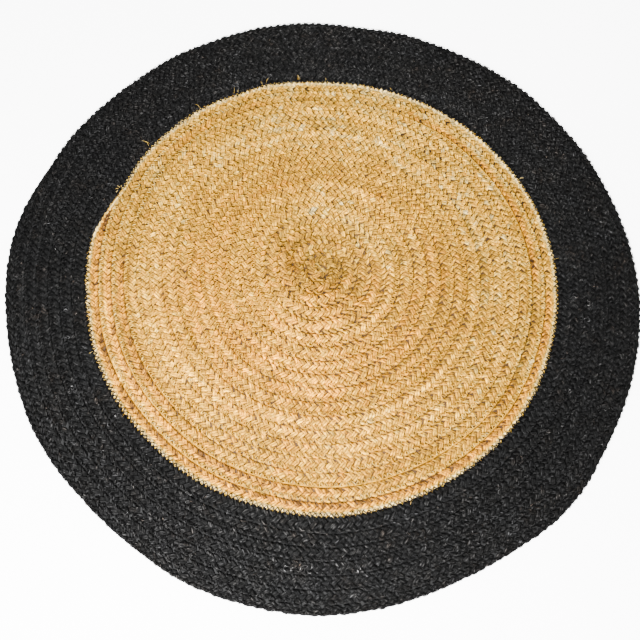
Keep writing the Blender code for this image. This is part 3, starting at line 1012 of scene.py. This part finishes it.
def add_fuzz(name, slot, rng, count, low, high, lengths, tones, shades):
    """Fibres that lie about between two radii."""
    radius = np.sqrt(rng.uniform(low**2, high**2, count))
    bearing = rng.uniform(0, 360, count)
    points = strayed(
        polar(bearing, radius),
        headings=np.radians(bearing) + rng.normal(math.pi / 2, OFF_COIL, count),
        lengths=rng.uniform(*lengths, count) * MM,
        bends=rng.normal(0, 1.0, count),
        height=rng.uniform(9.6, 10.8, count) * MM,
        arch=rng.uniform(0, 0.9, count) * MM,
        stations=5,
    )
    radius = rng.uniform(0.15, 0.30, count) * MM
    hairs(points, radius, rng.uniform(*tones, count), rng.uniform(*shades, count), name, slot)


def add_edge_hairs(rng):
    bearing, radius, length, turned = np.array(EDGE_HAIRS + TIP_HAIRS).T
    count = len(bearing)
    points = strayed(
        polar(bearing, radius * MM),
        headings=np.radians(bearing + turned),
        lengths=length * MM,
        bends=rng.normal(0, 0.5, count),
        height=np.full(count, PALE_HEIGHT),
        arch=rng.uniform(1, 3, count) * MM,
        stations=7,
    )
    radius, tone = rng.uniform(0.32, 0.45, count) * MM, rng.uniform(0.0, 0.1, count)
    hairs(points, radius, tone, np.full(count, 0.95), "natural_edge_fibres", "natural_jute")


def add_curls(rng):
    table = np.repeat(np.array(CURLS, float), CURL_COUNT, axis=0)
    count = len(table)
    table[:, 0] += rng.normal(0, CURL_DEGREES, count)
    table[:, 1] += rng.normal(0, CURL_MM, count)
    table[:, 2] *= rng.uniform(*CURL_SIZES, count)
    bearing, radius, size, curl = table.T
    share = np.linspace(0, 1, CURL_STATIONS)[None]
    turn = rng.uniform(0, TURN, count)[:, None] + np.radians(curl)[:, None] * share
    reach = size[:, None] * MM * (1 - CURL_CLOSES * share)
    centre = polar(bearing, radius * MM)
    x, y = centre[:, :1] + reach * np.cos(turn), centre[:, 1:] + reach * np.sin(turn)
    points = np.stack([x, y, PALE_HEIGHT + CURL_ARCH * np.sin(math.pi * share) + 0 * x], 2)
    radius, shade = rng.uniform(0.4, 0.75, count) * MM, rng.uniform(5, 11, count)
    hairs(points, radius, np.full(count, 0.25), shade, "pale_curls", "black_jute")


add_fuzz(
    "natural_loose_fibres", "natural_jute", default_rng(41),
    count=800, low=0.02, high=0.435, lengths=(8, 22), tones=(0.12, 0.5), shades=(0.85, 1.15),
)
add_fuzz(
    "black_loose_fibres", "black_jute", default_rng(42),
    count=750, low=0.458, high=0.585, lengths=(5, 14), tones=(0.0, 0.9), shades=(2.0, 8.0),
)
add_edge_hairs(default_rng(43))
add_curls(default_rng(44))

# The natural inner layer is far darker than the jute: painted shade in the gaps between strands
natural_inside_shade = inside_look("natural_inside_shade_look", (0.09, 0.039, 0.007), (0.03, 0.013, 0.0024))
black_inside = inside_look("black_inside_look", (0.0024, 0.0024, 0.0024), (0.0009, 0.0009, 0.0009))
natural_slab = slab("natural_inner_layer", "natural_jute", NATURAL_END, 0, -2.2 * MM, natural_inside_shade)
black_slab = slab("black_inner_layer", "black_jute", BORDER_END, NATURAL_END, -2.0 * MM, black_inside)
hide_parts("natural_braid_coil")
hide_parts("black_braid_coil")


# Floor, light and camera
FLOOR_SIZE = 30
WHITE = (1, 1, 1, 1)
FLOOR_LOOK = {
    "Base Color": (0.90, 0.90, 0.90, 1), "Roughness": 0.9,
    "Emission Color": WHITE, "Emission Strength": 7.0,
}
SKY = 1.30
SOFTBOX_AT, SOFTBOX_SIZE, SOFTBOX_WATTS = (-0.36, -1.05, 1.2), (1.1, 0.9), 149


def make_stage():
    bpy.ops.mesh.primitive_plane_add(size=FLOOR_SIZE, location=(0, 0, 0))
    floor = bpy.context.object
    floor.name = "floor"
    n = Nodes("floor_look")
    for name, value in FLOOR_LOOK.items():
        n.shader.inputs[name].default_value = value
    floor.data.materials.append(n.material)
    world = bpy.context.scene.world or bpy.data.worlds.new("world")
    bpy.context.scene.world = world
    world.use_nodes = True
    background = world.node_tree.nodes["Background"]
    background.inputs["Color"].default_value = WHITE
    background.inputs["Strength"].default_value = SKY
    lamp = bpy.data.lights.new("softbox", "AREA")
    lamp.shape = "RECTANGLE"
    lamp.size, lamp.size_y = SOFTBOX_SIZE
    lamp.energy = SOFTBOX_WATTS
    obj = bpy.data.objects.new("softbox", lamp)
    obj.location = SOFTBOX_AT
    obj.rotation_euler = (Vector((0, 0, 0)) - obj.location).to_track_quat("-Z", "Y").to_euler()
    bpy.context.scene.collection.objects.link(obj)


LENS, SENSOR = 41.6, 36.0
CAMERA_AT = (-0.0034, -0.5723, 1.3020)
CAMERA_DOWN = math.radians(69.685)
CAMERA_ROLL = math.radians(2.8)
CLIP = (0.05, 50)


def make_camera():
    data = bpy.data.cameras.new("camera")
    data.lens, data.sensor_width = LENS, SENSOR
    data.clip_start, data.clip_end = CLIP
    camera = bpy.data.objects.new("camera", data)
    c, s = math.cos(CAMERA_ROLL), math.sin(CAMERA_ROLL)
    ahead = Vector((0, math.cos(CAMERA_DOWN), -math.sin(CAMERA_DOWN)))
    level_up = Vector((0, math.sin(CAMERA_DOWN), math.cos(CAMERA_DOWN)))
    right = c * Vector((1, 0, 0)) + s * level_up
    up = -s * Vector((1, 0, 0)) + c * level_up
    turn = Matrix((right, up, -ahead)).transposed()
    camera.matrix_world = Matrix.Translation(CAMERA_AT) @ turn.to_4x4()
    bpy.context.scene.collection.objects.link(camera)
    bpy.context.scene.camera = camera


make_stage()
make_camera()
